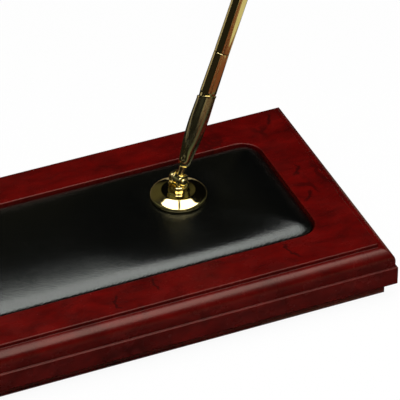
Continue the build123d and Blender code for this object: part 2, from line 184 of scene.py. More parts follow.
def new_group(name, inputs, outputs):
    """A shader node group: inputs are (name, kind, default), outputs are (name, kind)."""
    group = bpy.data.node_groups.new(name, "ShaderNodeTree")
    for label, kind, default in inputs:
        socket = group.interface.new_socket(label, in_out="INPUT", socket_type=kind)
        if default is not None:
            socket.default_value = default
    for label, kind in outputs:
        group.interface.new_socket(label, in_out="OUTPUT", socket_type=kind)
    source = group.nodes.new("NodeGroupInput")
    target = group.nodes.new("NodeGroupOutput")
    return group, source.outputs, target.inputs


def use_group(tree, group, **inputs):
    """Places a group in a material and returns its outputs."""
    node = tree.nodes.new("ShaderNodeGroup")
    node.node_tree = group
    for key, value in inputs.items():
        socket = node.inputs[key.replace("_", " ")]
        if isinstance(value, bpy.types.NodeSocket):
            tree.links.new(value, socket)
        else:
            socket.default_value = value
    return node.outputs


def add_bump(tree, shader, height, strength, depth):
    """Feeds a height through a Bump node into the shader's normal."""
    node = place(tree, "ShaderNodeBump", Strength=strength, Distance=depth, Height=height)
    tree.links.new(node.outputs[0], shader.inputs["Normal"])


# %% [markdown]
# ## The floor
# The photo has a pure white ground. The floor's own colour is pale, and what the camera and mirrors see of
# it is lifted to white by a weak glow of its own, so that no extra light falls on the stand. The rest stays
# plain, so it keeps the stand's soft shadow.

# %% Floor
floor_size = 12.0
floor_glow_share = 0.94
bpy.ops.object.select_all(action="DESELECT")
bpy.ops.mesh.primitive_plane_add(size=floor_size, location=(0, 0, 0))
floor = bpy.context.object
floor.name = "floor"
floor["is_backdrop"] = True
floor_material, tree, shader, where = new_material("pale_floor")
floor_pale, floor_rough = (0.86, 0.86, 0.86, 1), 0.9
shader.inputs["Base Color"].default_value = floor_pale
shader.inputs["Roughness"].default_value = floor_rough
rays = place(tree, "ShaderNodeLightPath").outputs
seen = maths(tree, "MAXIMUM", rays["Is Camera Ray"], rays["Is Glossy Ray"])
seen = maths(tree, "MAXIMUM", seen, rays["Is Transmission Ray"])
share = maths(tree, "MULTIPLY", seen, floor_glow_share)
glow = place(tree, "ShaderNodeEmission", Color=(1, 1, 1, 1), Strength=1.0)
mixed = place(tree, "ShaderNodeMixShader", i0=share, i1=shader.outputs[0], i2=glow.outputs[0])
tree.links.new(mixed.outputs[0], tree.nodes["Material Output"].inputs["Surface"])
floor.data.materials.append(floor_material)
print("floor:", floor_size, "m wide")

# %% [markdown]
# ## The light
# The dome reflects two big soft panels side by side with a thin gap between them. The gap points at the
# camera, so the panels are set square to the camera and not to the stand, high up and a little in front.

# %% Soft panels overhead
panel_height = 0.75
panel_radiance = 3.2
soft_panels = {
    "panel_left": (-0.76, -0.015, -0.84, 0.44),
    "panel_right": (0.045, 0.95, -0.84, 0.44),
}
over = Vector((0.087, 0.011, 0.04))
away = Vector((camera_forward.x, camera_forward.y, 0.0)).normalized()
square_turn = math.atan2(camera_right.y, camera_right.x)
for name, (side_low, side_high, near, far) in soft_panels.items():
    lamp_data = bpy.data.lights.new(name, "AREA")
    lamp_data.shape = "RECTANGLE"
    lamp_data.size = (side_high - side_low) * panel_height
    lamp_data.size_y = (far - near) * panel_height
    lamp_data.energy = panel_radiance * math.pi * lamp_data.size * lamp_data.size_y
    lamp = bpy.data.objects.new(name, lamp_data)
    bpy.context.scene.collection.objects.link(lamp)
    sideways = camera_right * (side_low + side_high) / 2 + away * (near + far) / 2
    lamp.location = over + (sideways + Vector((0, 0, 1))) * panel_height
    lamp.rotation_euler = (0, 0, square_turn)
    print(name, [round(v, 3) for v in lamp.location], round(lamp_data.energy, 2), "W")

# %% [markdown]
# ## The room
# Polished metal shows the room it stands in. One even grey would make the gold look painted, and a picture
# of a room would be one more file to carry, so the world is a few soft patches, worked out from the
# direction in which a ray leaves. Near the horizon it is almost black. Higher up, to the left and right of
# the stand, it is a dim olive grey. The camera itself sees past the floor's edge into white, as in the
# photo.

# %% Dim room
room_black, room_grey = (0.014, 0.013, 0.010, 1), (0.120, 0.135, 0.100, 1)
room_back, room_beside = (0.002, 0.002, 0.002, 1), (0.060, 0.056, 0.030, 1)
room_seen = (0.95, 0.95, 0.95, 1)
behind_stand = Vector((0.31, 0.75, 0.58)).normalized()
beside_stand = (camera_right * -0.52 + away * 0.74 + Vector((0, 0, 0.42))).normalized()
world = bpy.data.worlds.new("dim_room")
bpy.context.scene.world = world
world.use_nodes = True
tree = world.node_tree
direction = place(tree, "ShaderNodeTexCoord").outputs["Generated"]
parts = place(tree, "ShaderNodeSeparateXYZ", Vector=direction).outputs
low_edge = remap(tree, parts["Z"], 0.22, 0.38, smooth=True)
high_edge = remap(tree, parts["Z"], 0.60, 0.80, 1.0, 0.0, smooth=True)
sideways = remap(tree, maths(tree, "ABSOLUTE", parts["X"]), 0.45, 0.80, smooth=True)
band = maths(tree, "MULTIPLY", maths(tree, "MULTIPLY", low_edge, high_edge), sideways)
room = blend_colours(tree, band, room_black, room_grey)
for patch, patch_colour, far_off, close in (
    (behind_stand, room_back, 0.35, 0.85),
    (beside_stand, room_beside, 0.84, 0.97),
):
    facing = vector_maths(tree, "DOT_PRODUCT", direction, patch)
    room = blend_colours(tree, remap(tree, facing, far_off, close, smooth=True), room, patch_colour)
rays = place(tree, "ShaderNodeLightPath").outputs
room = blend_colours(tree, rays["Is Camera Ray"], room, room_seen)
tree.links.new(room, tree.nodes["Background"].inputs["Color"])
print("room:", len(tree.nodes), "nodes")

# %% [markdown]
# ## Cards: painted reflections
# A photographer lays coloured and black cards round polished metal, just outside the picture, because a mirror is
# only as good as what it shows. These cards are glowing sheets that only mirror rays see: painted reflections that
# give the gold its dark edges, its red-brown belly and its pale streak. More lamps could do that too, but they
# would also light the wood and the leather. Only mirror rays see the cards, so they neither light nor shade the
# stand.


# %% Card maker
def put_painted_reflection(name, colour, centre, size, turn=(0.0, 0.0, 0.0)):
    """A flat glowing card of that size, in metres, seen only in reflections: a painted reflection."""
    bpy.ops.object.select_all(action="DESELECT")
    bpy.ops.mesh.primitive_plane_add(size=1, location=centre, rotation=turn)
    card = bpy.context.object
    card.name = name
    card.scale = (*size, 1)
    card.visible_camera = card.visible_diffuse = card.visible_shadow = False
    card.visible_transmission = card.visible_volume_scatter = False
    painted = bpy.data.materials.new(name)
    painted.use_nodes = True
    painted.node_tree.nodes.clear()
    tree = painted.node_tree
    glow = place(tree, "ShaderNodeEmission", Color=(*colour, 1), Strength=1.0)
    surface = place(tree, "ShaderNodeOutputMaterial")
    tree.links.new(glow.outputs[0], surface.inputs["Surface"])
    card.data.materials.append(painted)
    card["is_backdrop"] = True


# %% Cards on the floor, painted reflections
# Each is its colour and two opposite corners, in metres. They lie in a stack with a little air between them, and
# each glows in the mirrors as a painted reflection.
black_card, grey_card = (0.014, 0.013, 0.010), (0.105, 0.125, 0.092)
brown_card, pale_card = (0.180, 0.062, 0.036), (0.60, 0.58, 0.40)
behind_card = (0.34, 0.30, 0.24)
floor_cards = {
    "card_floor": (black_card, (-4.5, -4.5), (4.5, 4.5)),
    "card_pale": (pale_card, (0.10, -4.0), (1.20, 0.10)),
    "card_brown": (brown_card, (0.05, -1.35), (0.285, 0.05)),
    "card_black": (black_card, (-0.60, -1.04), (0.205, -0.55)),
    "card_grey": (grey_card, (-0.12, -0.30), (0.243, -0.06)),
    "card_behind": (behind_card, (-4.0, 0.38), (4.0, 4.0)),
    # The black card round the foot is a painted contact shadow in the reflections.
    "card_foot": (black_card, (-0.24, -0.135), (0.235, 0.135)),
}
lowest_card, card_step = 0.0010, 0.0004
for step, (name, (colour, low, high)) in enumerate(floor_cards.items()):
    middle = ((low[0] + high[0]) / 2, (low[1] + high[1]) / 2, lowest_card + card_step * step)
    put_painted_reflection(name, colour, middle, (high[0] - low[0], high[1] - low[1]))
print("cards on the floor:", len(floor_cards))

# %% Upright cards and panel trims
# Two glowing cards stand in front of the stand: painted reflections in brown and pale. Two black ones hang under
# the soft panels' outer ends and trim them in the mirrors, but not as lamps: painted shade in the panels'
# reflections.
front_turn = (math.radians(90), math.radians(17), 0)
put_painted_reflection("card_band", brown_card, (-0.235, -1.38, 0.165), (0.80, 0.085), front_turn)
put_painted_reflection("card_behind_band", pale_card, (-0.235, -1.45, 0.315), (0.90, 0.22), front_turn)
panel_trims = {"card_trim_left": (-0.90, -0.47), "card_trim_right": (0.60, 1.10)}
trim_nearer, trim_height, trim_depth = 0.2, 0.99, 1.5
for name, (side_low, side_high) in panel_trims.items():
    sideways = camera_right * (side_low + side_high) / 2 - away * trim_nearer
    spot = over + (sideways + Vector((0, 0, trim_height))) * panel_height
    size = ((side_high - side_low) * panel_height, trim_depth * panel_height)
    put_painted_reflection(name, black_card, spot, size, (0, 0, square_turn))
print("panel trims:", len(panel_trims))

# %% [markdown]
# ## Wood
# The base is stained a deep red-brown and lacquered. Its figure is cloudy, a little longer along the board
# than across it, with darker curls here and there and fine pores. Rings cut by a plane would give the
# straight grain of another wood, so the figure is noise, bent by more noise. One group makes its masks from
# a place on the board.

# %% Wood figure group
figure_group, given, made = new_group(
    "wood_figure",
    [("Vector", "NodeSocketVector", None), ("Size", "NodeSocketFloat", 1.0)],
    [("Clouds", "NodeSocketFloat"), ("Curls", "NodeSocketFloat"), ("Pores", "NodeSocketFloat")],
)
half_grey = (0.5, 0.5, 0.5)
at = vector_maths(figure_group, "SCALE", given["Vector"], scale=given["Size"])
drift = place(figure_group, "ShaderNodeTexNoise", Vector=at, Scale=28.0, Detail=2.0).outputs[1]
drift = vector_maths(figure_group, "SUBTRACT", drift, half_grey)
bent = vector_maths(figure_group, "ADD", at, vector_maths(figure_group, "SCALE", drift, scale=0.02))
long_way = stretch(figure_group, bent, (0.45, 1.0, 1.0))
clouds = noise(figure_group, long_way, 95.0, 6.0, 0.62)
figure_group.links.new(remap(figure_group, clouds, 0.3, 0.72), made["Clouds"])
ridge = stretch(figure_group, bent, (1.3, 0.7, 1.0), (0.3, 0.1, 0.7))
ridge = noise(figure_group, ridge, 42.0, 3.0, 0.5)
ridge = maths(figure_group, "ABSOLUTE", maths(figure_group, "SUBTRACT", ridge, 0.5))
ridge = remap(figure_group, ridge, 0.012, 0.05, 1.0, 0.0, smooth=True)
places = noise(figure_group, stretch(figure_group, at, (1, 1, 1), (0.9, 0.4, 0.2)), 26.0, 1.0)
places = remap(figure_group, places, 0.55, 0.68, smooth=True)
figure_group.links.new(maths(figure_group, "MULTIPLY", ridge, places), made["Curls"])
pores = noise(figure_group, stretch(figure_group, bent, (0.07, 1.0, 1.0)), 2600.0, 2.0, 0.6)
figure_group.links.new(remap(figure_group, pores, 0.60, 0.74), made["Pores"])
print("wood figure:", len(figure_group.nodes), "nodes")

# %% [markdown]
# ## Marks of use
# Lacquer and polished metal are never quite even: hands leave faint smudges and dusting leaves hairlines.
# They could be painted in an image, but noise needs none, and one group then serves every finish at its own
# scale.

# %% Marks group
marks_group, given, made = new_group(
    "fine_marks",
    [("Vector", "NodeSocketVector", None), ("Scale", "NodeSocketFloat", 1.0)],
    [("Smudges", "NodeSocketFloat"), ("Hairlines", "NodeSocketFloat")],
)
at = vector_maths(marks_group, "SCALE", given["Vector"], scale=given["Scale"])
smudges = noise(marks_group, at, 70.0, 4.0, 0.6)
marks_group.links.new(remap(marks_group, smudges, 0.35, 0.7), made["Smudges"])
hairs = stretch(marks_group, at, (1.0, 14.0, 1.0), turn=(0.3, 0.2, 0.6))
hairs = noise(marks_group, hairs, 420.0, 2.0, 0.5)
hairs = maths(marks_group, "ABSOLUTE", maths(marks_group, "SUBTRACT", hairs, 0.5))
marks_group.links.new(remap(marks_group, hairs, 0.0, 0.012, 1.0, 0.0), made["Hairlines"])
print("marks:", len(marks_group.nodes), "nodes")

# %% [markdown]
# ## Curls in the wood
# A few dark curls stand out of the figure. Noise alone would put them anywhere, so each of these has its
# own place. A curl is a short piece of a ring, bent a little by noise.

# %% One curl group
curl_group, given, made = new_group(
    "one_curl",
    [
        ("Vector", "NodeSocketVector", None),
        ("Middle", "NodeSocketVector", None),
        ("Around", "NodeSocketVector", None),
        ("Radius", "NodeSocketFloat", 0.01),
        ("Reach", "NodeSocketFloat", 0.01),
    ],
    [("Mask", "NodeSocketFloat")],
)
flat = stretch(curl_group, given["Vector"], (1, 1, 0))
wander = place(curl_group, "ShaderNodeTexNoise", Vector=flat, Scale=260.0, Detail=3.0).outputs[1]
wander = vector_maths(curl_group, "SUBTRACT", wander, half_grey)
wander = vector_maths(curl_group, "SCALE", wander, scale=0.006)
flat = vector_maths(curl_group, "ADD", flat, wander)
ring = vector_maths(curl_group, "DISTANCE", flat, given["Around"])
ring = maths(curl_group, "ABSOLUTE", maths(curl_group, "SUBTRACT", ring, given["Radius"]))
ring = remap(curl_group, ring, 0.0002, 0.0016, 1.0, 0.0, smooth=True)
near = vector_maths(curl_group, "DISTANCE", flat, given["Middle"])
near = maths(curl_group, "DIVIDE", near, given["Reach"])
near = remap(curl_group, near, 0.45, 1.0, 1.0, 0.0, smooth=True)
curl_group.links.new(maths(curl_group, "MULTIPLY", ring, near), made["Mask"])
print("one curl:", len(curl_group.nodes), "nodes")

# %% Where the curls are
# Each is the curl's middle, its ring's middle, the ring's radius and the curl's reach, in metres on the
# board.
wood_curls = (
    ((0.0215, -0.0580, 0), (0.0300, -0.0598, 0), 0.0088, 0.0085),
    ((0.0465, -0.0520, 0), (0.0600, -0.0520, 0), 0.0135, 0.0070),
    ((0.1235, -0.0550, 0), (0.1400, -0.0500, 0), 0.0170, 0.0100),
    ((0.1629, 0.0587, 0), (0.1550, 0.0620, 0), 0.0085, 0.0065),
    ((0.1577, 0.0097, 0), (0.1500, 0.0140, 0), 0.0088, 0.0070),
    ((0.1541, -0.0137, 0), (0.1460, -0.0080, 0), 0.0100, 0.0070),
    ((-0.0700, -0.0600, 0), (-0.0800, -0.0620, 0), 0.0100, 0.0085),
    ((-0.1600, 0.0300, 0), (-0.1500, 0.0260, 0), 0.0105, 0.0080),
)
print("curls:", len(wood_curls))

# %% Red-brown lacquered wood
wood_deep, wood_warm = (0.040, 0.0004, 0.0004, 1), (0.115, 0.0012, 0.0009, 1)
wood_dark, wood_curl = (0.022, 0.0005, 0.0005, 1), (0.016, 0.0005, 0.0005, 1)
wood_pore = (0.035, 0.0006, 0.0006, 1)
soft_edge = 0.0009
wood, tree, shader, where = new_material("red_brown_wood")
figure = use_group(tree, figure_group, Vector=where, Size=1.0)
marks = use_group(tree, marks_group, Vector=where, Scale=1.0)
colour = blend_colours(tree, figure["Clouds"], wood_deep, wood_warm)
colour = blend_colours(tree, maths(tree, "MULTIPLY", figure["Curls"], 0.6), colour, wood_dark)
for middle, around, radius, reach in wood_curls:
    curl = use_group(tree, curl_group, Vector=where, Middle=middle, Around=around, Radius=radius, Reach=reach)
    colour = blend_colours(tree, maths(tree, "MULTIPLY", curl["Mask"], 0.75), colour, wood_curl)
colour = blend_colours(tree, maths(tree, "MULTIPLY", figure["Pores"], 0.35), colour, wood_pore)
tree.links.new(colour, shader.inputs["Base Color"])
tree.links.new(remap(tree, marks["Smudges"], 0, 1, 0.24, 0.30), shader.inputs["Roughness"])
shader.inputs["Specular IOR Level"].default_value = 0.5
shader.inputs["Specular Tint"].default_value = (1.0, 0.66, 0.55, 1)
height = maths(tree, "MULTIPLY", figure["Pores"], -0.4)
height = maths(tree, "ADD", height, maths(tree, "MULTIPLY", figure["Clouds"], 0.3))
rounded = place(tree, "ShaderNodeBevel", {"samples": 8}, Radius=soft_edge).outputs[0]
bumped = place(tree, "ShaderNodeBump", Strength=0.12, Distance=0.0003, Height=height, Normal=rounded)
tree.links.new(bumped.outputs[0], shader.inputs["Normal"])
print("wood:", len(tree.nodes), "nodes")

# %% [markdown]
# ## Gold
# Thin gold plate on polished brass: a mirror with a warm tint. A diffuse yellow under a clear coat would
# look like plastic, so it is fully metallic and takes its look from what it reflects. Smudges change its
# roughness a little, and hairlines catch the light.

# %% Polished gold
gold, tree, shader, where = new_material("polished_gold")
marks = use_group(tree, marks_group, Vector=where, Scale=3.0)
colour = blend_colours(tree, marks["Smudges"], (0.90, 0.76, 0.36, 1), (0.86, 0.71, 0.33, 1))
tree.links.new(colour, shader.inputs["Base Color"])
shader.inputs["Metallic"].default_value = 1.0
tree.links.new(remap(tree, marks["Smudges"], 0, 1, 0.05, 0.09), shader.inputs["Roughness"])
add_bump(tree, shader, marks["Hairlines"], 0.02, 0.00005)
print("gold:", len(tree.nodes), "nodes")

# %% [markdown]
# ## Two golds for the tall parts
# The funnel is not quite as bright as the rest: its reflections are softer, except in its nose. The pen is as
# bright as the dome. What mirror rays see of the tall funnels and pens is painted dark, a painted darkening of
# their reflections, so that they hardly show in the leather. Both are copies of the polished gold, so that its
# marks stay the same on all of them.

# %% Satin gold and pen gold
tilt = next(joint for joint in frame["joints"] if joint["name"] == "right_tilt")
hinge, tilt_axis = Vector(tilt["pos_m"]), Vector(tilt["axis"]).normalized()
reflection_darkening_share = 0.03
nose_near, nose_far, nose_gloss = 0.013, 0.026, 0.3
tall_looks = {"satin_gold": (0.14, 0.20, (0.62, 0.66, 0.80, 1)), "pen_gold": (0.04, 0.08, (1, 1, 1, 1))}
tall_golds = {}
for name, (low_rough, high_rough, tone) in tall_looks.items():
    tall = gold.copy()
    tall.name = name
    tree = tall.node_tree
    shader = tree.nodes["Principled BSDF"]
    roughness = shader.inputs["Roughness"].links[0].from_node
    roughness.inputs[3].default_value, roughness.inputs[4].default_value = low_rough, high_rough
    plain = shader.inputs["Base Color"].links[0].from_socket
    toned = blend_colours(tree, 1.0, plain, tone, "MULTIPLY")
    if name == "satin_gold":
        where = place(tree, "ShaderNodeTexCoord").outputs["Object"]
        from_hinge = vector_maths(tree, "DISTANCE", vector_maths(tree, "ABSOLUTE", where), hinge)
        past_nose = remap(tree, from_hinge, nose_near, nose_far, smooth=True)
        softer = remap(tree, past_nose, 0, 1, nose_gloss, 1.0)
        softer = maths(tree, "MULTIPLY", roughness.outputs[0], softer)
        tree.links.new(softer, shader.inputs["Roughness"])
        toned = blend_colours(tree, past_nose, plain, toned)
    # For mirror rays the colour is painted down to a small share: a painted darkening of the tall parts'
    # reflections.
    mirrored = place(tree, "ShaderNodeLightPath").outputs["Is Glossy Ray"]
    dim = blend_colours(tree, 1.0, toned, (reflection_darkening_share,) * 3 + (1,), "MULTIPLY")
    tree.links.new(blend_colours(tree, mirrored, toned, dim), shader.inputs["Base Color"])
    tall_golds[name] = tall
    print(name, "made")

# %% [markdown]
# ## Plain finishes
# The steel nuts and screws, the refill, the liners, the stiff board, the foam and the felt are mostly
# hidden. Each still has a grain that changes its colour, gloss and height a little, and one function makes
# them all, because they differ only in numbers.


# %% Plain metals, plastic, boards and felt
def plain_finish(name, dark, light, low_rough, high_rough, metallic, grain, depth):
    """A finish with a fine grain that varies its colour, gloss and height."""
    made, tree, shader, where = new_material(name)
    marks = use_group(tree, marks_group, Vector=where, Scale=grain)
    speckle = noise(tree, where, 900.0 * grain, 4.0, 0.6)
    colour = blend_colours(tree, speckle, (*dark, 1), (*light, 1))
    tree.links.new(colour, shader.inputs["Base Color"])
    shader.inputs["Metallic"].default_value = metallic
    tree.links.new(remap(tree, marks["Smudges"], 0, 1, low_rough, high_rough), shader.inputs["Roughness"])
    add_bump(tree, shader, maths(tree, "ADD", speckle, marks["Hairlines"]), 0.3, depth)
    return made


plain_looks = {
    "steel": ((0.46, 0.46, 0.45), (0.62, 0.62, 0.61), 0.22, 0.36, 1.0, 1.0, 0.00003),
    "refill_metal": ((0.6, 0.46, 0.24), (0.72, 0.58, 0.32), 0.2, 0.34, 1.0, 1.0, 0.00002),
    "black_plastic": ((0.012, 0.012, 0.012), (0.02, 0.02, 0.02), 0.4, 0.55, 0.0, 1.0, 0.00004),
    "fibreboard": ((0.28, 0.19, 0.10), (0.46, 0.34, 0.20), 0.8, 0.95, 0.0, 0.8, 0.0003),
    "foam": ((0.6, 0.57, 0.48), (0.75, 0.72, 0.63), 0.85, 0.95, 0.0, 1.2, 0.0004),
    "felt": ((0.010, 0.012, 0.011), (0.028, 0.032, 0.030), 0.9, 1.0, 0.0, 1.5, 0.0005),
}
finishes = {"red_brown_wood": wood, "polished_gold": gold}
for name, look in plain_looks.items():
    finishes[name] = plain_finish(name, *look)
print("plain finishes:", ", ".join(plain_looks))

# %% [markdown]
# ## Leather
# Thin, fine-grained black leather with a soft gloss. Its grain is small rounded cells with creases between
# them, which a smooth Voronoi texture gives. Modelling them would take millions of faces. The gloss is
# uneven, in broad clouds and fine mottles, so that the long highlight breaks up as it does on real leather.

# %% Black leather
leather, tree, shader, where = new_material("black_leather")
cells = place(
    tree,
    "ShaderNodeTexVoronoi",
    {"feature": "SMOOTH_F1"},
    Vector=where,
    Scale=1300.0,
    Smoothness=0.4,
)
fine = noise(tree, where, 2600.0, 3.0, 0.6)
broad = noise(tree, where, 60.0, 3.0, 0.55)
grain = remap(tree, cells.outputs["Distance"], 0.0, 0.75)
grain = maths(tree, "ADD", grain, maths(tree, "MULTIPLY", fine, 0.35))
# The colour is darker where the grain is lowest: painted shade in its hollows.
grain_hollow_shade, leather_black = (0.0006, 0.0007, 0.0006, 1), (0.0016, 0.0017, 0.0015, 1)
colour = blend_colours(tree, grain, grain_hollow_shade, leather_black)
tree.links.new(colour, shader.inputs["Base Color"])
mottle = noise(tree, where, 950.0, 3.0, 0.65)
gloss = remap(tree, broad, 0.3, 0.7, 0.15, 0.18)
gloss = maths(tree, "ADD", gloss, remap(tree, mottle, 0.3, 0.7, -0.04, 0.05))
tree.links.new(gloss, shader.inputs["Roughness"])
shader.inputs["Specular IOR Level"].default_value = 0.9
shader.inputs["Specular Tint"].default_value = (0.95, 1.0, 0.95, 1)
add_bump(tree, shader, grain, 0.42, 0.0002)
finishes["black_leather"] = leather
print("leather:", len(tree.nodes), "nodes")

# %% [markdown]
# ## Finishes on the CAD nodes
# The CAD nodes whose shape is right stay as they are, and each gets the finish that the record names for
# it. Only the funnels and the pens' gold parts get one of the two golds made above instead.

# %% Every CAD node gets the finish of its slot
slot_of = {row["node"]: row["material_slot"] for row in frame["record"]["subparts"]}
for name, node in frame["nodes"].items():
    finish = finishes[slot_of[name]]
    if name.endswith("_funnel"):
        finish = tall_golds["satin_gold"]
    elif finish is gold and "_pen_" in name:
        finish = tall_golds["pen_gold"]
    for spot in node.material_slots:
        spot.material = finish
print("finishes on CAD nodes:", len(set(slot_of.values())))

# %% [markdown]
# ## The padded panel
# On the real stand thin leather is drawn over foam and a stiff board, and tucked into the pocket all round.
# The domes clamp it, so it swells most halfway between them. A block with a bevel would have the same
# roundness everywhere, and its highlight would be too straight. So the block starts as a rounded outline
# that narrows upward in steps, gets a crown, and is then swelled by a cloth simulation that holds its sides
# and the places under the domes.

# %% Pad block
leather_low, leather_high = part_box("panel_leather")
board_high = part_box("base_board")[1]
pad_tuck = 0.95 * MM
pad_corner = 10.2 * MM - pad_tuck
pad_edge_drop = 1.0 * MM
pad_steps = ((2.0, 1.3), (4.0, 0.9), (6.0, 0.4))
held_top = {side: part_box(side + "_holder_dome")[0][2] for side in SIDES}
pad_length = leather_high[0] - leather_low[0] - 2 * pad_tuck
pad_depth = leather_high[1] - leather_low[1] - 2 * pad_tuck
pad_edge = board_high[2] - pad_edge_drop
bpy.ops.object.select_all(action="DESELECT")
bpy.ops.mesh.primitive_plane_add(size=1, location=(0, 0, leather_low[2]))
pad = bpy.context.object
pad.name = "padded_panel"
pad.scale = (pad_length, pad_depth, 1)
bpy.ops.object.transform_apply(location=True, rotation=True, scale=True)
bpy.ops.object.mode_set(mode="EDIT")
bpy.ops.mesh.select_all(action="SELECT")
bpy.ops.mesh.bevel(offset=pad_corner, segments=10, affect="VERTICES")
bpy.ops.mesh.extrude_region_move(TRANSFORM_OT_translate={"value": (0, 0, pad_edge - leather_low[2])})
for draw_in, rise in pad_steps:
    bpy.ops.mesh.inset(thickness=draw_in * MM, depth=rise * MM)
bpy.ops.mesh.select_all(action="SELECT")
bpy.ops.mesh.normals_make_consistent(inside=False)
bpy.ops.object.mode_set(mode="OBJECT")
print("pad block top:", round(max(v.co.z for v in pad.data.vertices) / MM, 2), "mm; held at", held_top)

# %% Pad even mesh
remesh = pad.modifiers.new("even_mesh", "REMESH")
remesh.mode = "VOXEL"
remesh.voxel_size = 2.2 * MM
bpy.ops.object.modifier_apply(modifier=remesh.name)
print("pad vertices:", len(pad.data.vertices))

# %% Pad crown
# The leather is steep at its rim and flat in the middle. Where no dome clamps it, the foam lifts it
# further.
rim_rise, rim_reach = held_top["right"] - pad_edge, 4.0 * MM
foam_rise, foam_reach = 3.5 * MM, 17.0 * MM
clamp_near, clamp_far = 8.0 * MM, 66.0 * MM
held_radius, free_radius = 16.5 * MM, 30.0 * MM
dome_spots = []
for side in SIDES:
    stem_low, stem_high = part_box(side + "_holder_stem")
    dome_spots.append(Vector(stem_low[:2]).lerp(Vector(stem_high[:2]), 0.5))


def ease(value, low, high):
    """0 below low, 1 above high, smooth between."""
    share = max(0.0, min(1.0, (value - low) / (high - low)))
    return share * share * (3 - 2 * share)


def from_rim(spot):
    """How far a place on the pad is from its rounded outline."""
    x = abs(spot.x) - (pad_length / 2 - pad_corner)
    y = abs(spot.y) - (pad_depth / 2 - pad_corner)
    outside = math.hypot(max(x, 0.0), max(y, 0.0))
    return pad_corner - outside - min(max(x, y), 0.0)


def to_dome(spot):
    """How far a place is from the nearest dome's middle."""
    return min((spot.xy - middle).length for middle in dome_spots)


def crown(spot):
    """The leather's height over its rim at a place."""
    depth = from_rim(spot)
    if depth <= 0:
        return 0.0
    along = min(abs(spot.x - middle.x) for middle in dome_spots)
    lift = foam_rise * ease(along, clamp_near, clamp_far) * ease(to_dome(spot), held_radius, free_radius)
    rim = rim_rise * (1 - math.exp(-((depth / rim_reach) ** 1.3)))
    return rim + lift * (1 - math.exp(-((depth / foam_reach) ** 1.8)))


for vertex in pad.data.vertices:
    if vertex.co.z > pad_edge - 0.2 * MM and from_rim(vertex.co) > 0.3 * MM:
        vertex.co.z = pad_edge + crown(vertex.co)
print("pad crown:", round(max(v.co.z for v in pad.data.vertices) / MM, 2), "mm")

# %% Pad pins
# Held: the sides and underside, and a disc under each dome that fades out a little beyond the dome's foot.
held = pad.vertex_groups.new(name="held")
clamp_hold = 0.95
for vertex in pad.data.vertices:
    along = min(abs(vertex.co.x - middle.x) for middle in dome_spots)
    weight = clamp_hold * (1 - ease(along, clamp_near, clamp_far))
    weight = max(weight, 1 - ease(to_dome(vertex.co), held_radius, free_radius))
    if vertex.co.z < pad_edge + 0.3 * MM:
        weight = 1.0
    held.add([vertex.index], weight, "REPLACE")
print("pad held under", len(dome_spots), "domes")

# %% Pad swells
pad_pressure = 3.0
pad_cap = 5.0 * MM
before = [vertex.co.copy() for vertex in pad.data.vertices]
swell = pad.modifiers.new("swell", "CLOTH")
swell.settings.quality = 6
swell.settings.mass = 0.3
swell.settings.tension_stiffness = 15.0
swell.settings.compression_stiffness = 15.0
swell.settings.bending_stiffness = 0.5
swell.settings.use_pressure = True
swell.settings.uniform_pressure_force = pad_pressure
swell.settings.vertex_group_mass = "held"
swell.settings.effector_weights.gravity = 0.0
for step in range(1, 21):
    bpy.context.scene.frame_set(step)
bpy.ops.object.modifier_apply(modifier=swell.name)
bpy.context.scene.frame_set(1)
highest = max(v.co.z for v in pad.data.vertices)
print("pad swelled to", round(highest / MM, 2), "mm")
for vertex, old in zip(pad.data.vertices, before):
    moved = vertex.co - old
    if moved.length > pad_cap:
        vertex.co = old + moved * (pad_cap / moved.length)

# %% Pad skirt
# Lower down, the leather goes round the edge of the stiff board, which holds it out a little further.
pad_skirt, skirt_reach = 0.45 * MM, 1.2 * MM
for vertex in pad.data.vertices:
    flare = pad_skirt * ease(pad_edge - vertex.co.z, 0.0, skirt_reach)
    vertex.co.xy += vertex.normal.xy * flare
farthest = max(vertex.co.x for vertex in pad.data.vertices)
print("pad reaches", round(farthest / MM, 2), "mm of", round(leather_high[0] / MM, 2))

# %% Pad finish
smooth = pad.modifiers.new("smooth", "SUBSURF")
smooth.levels = smooth.render_levels = 1
bpy.ops.object.modifier_apply(modifier=smooth.name)
bpy.ops.object.shade_smooth()
pad.data.materials.append(leather)
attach(pad, "base")
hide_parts("panel_leather", "panel_foam")
print("pad triangles:", sum(len(p.vertices) - 2 for p in pad.data.polygons))

# %% [markdown]
# ## The felt
# The stand rests on a sheet of black felt let into the plinth. It is cut from a sheet and laid in flat, so
# nothing hangs or folds and no simulation is needed. Its outline is plain, and its lower edge is a little
# rounded by wear.

# %% Felt sheet
felt_low, felt_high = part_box("felt_pad")
bpy.ops.object.select_all(action="DESELECT")
bpy.ops.mesh.primitive_plane_add(size=1, location=(0, 0, felt_high[2]))
felt = bpy.context.object
felt.name = "felt_sheet"
felt.scale = (felt_high[0] - felt_low[0], felt_high[1] - felt_low[1], 1)
bpy.ops.object.transform_apply(location=True, rotation=True, scale=True)
bpy.ops.object.mode_set(mode="EDIT")
bpy.ops.mesh.select_all(action="SELECT")
bpy.ops.mesh.subdivide(number_cuts=40)
bpy.ops.mesh.extrude_region_move(TRANSFORM_OT_translate={"value": (0, 0, felt_low[2] - felt_high[2])})
bpy.ops.mesh.select_all(action="SELECT")
bpy.ops.mesh.normals_make_consistent(inside=False)
bpy.ops.object.mode_set(mode="OBJECT")
worn = felt.modifiers.new("worn_edge", "BEVEL")
worn.width, worn.segments, worn.limit_method = 0.5 * MM, 3, "ANGLE"
bpy.ops.object.modifier_apply(modifier=worn.name)
felt.data.materials.append(finishes["felt"])
bpy.ops.object.shade_smooth_by_angle(angle=math.radians(40))
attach(felt, "base")
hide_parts("felt_pad")
print("felt sheet:", len(felt.data.polygons), "faces")

# %% [markdown]
# ## The holder's dome and fork
# The dome is a thin spun shell: a round lip, a shallow dish and a straight neck in its middle. The fork
# stands on it and carries the neck on. The two soft panels show in the lip, and again in the neck by way of
# the dish. A cut-down sphere would show them in one round spot, so both pieces are shaped ring by ring, as
# on a lathe.


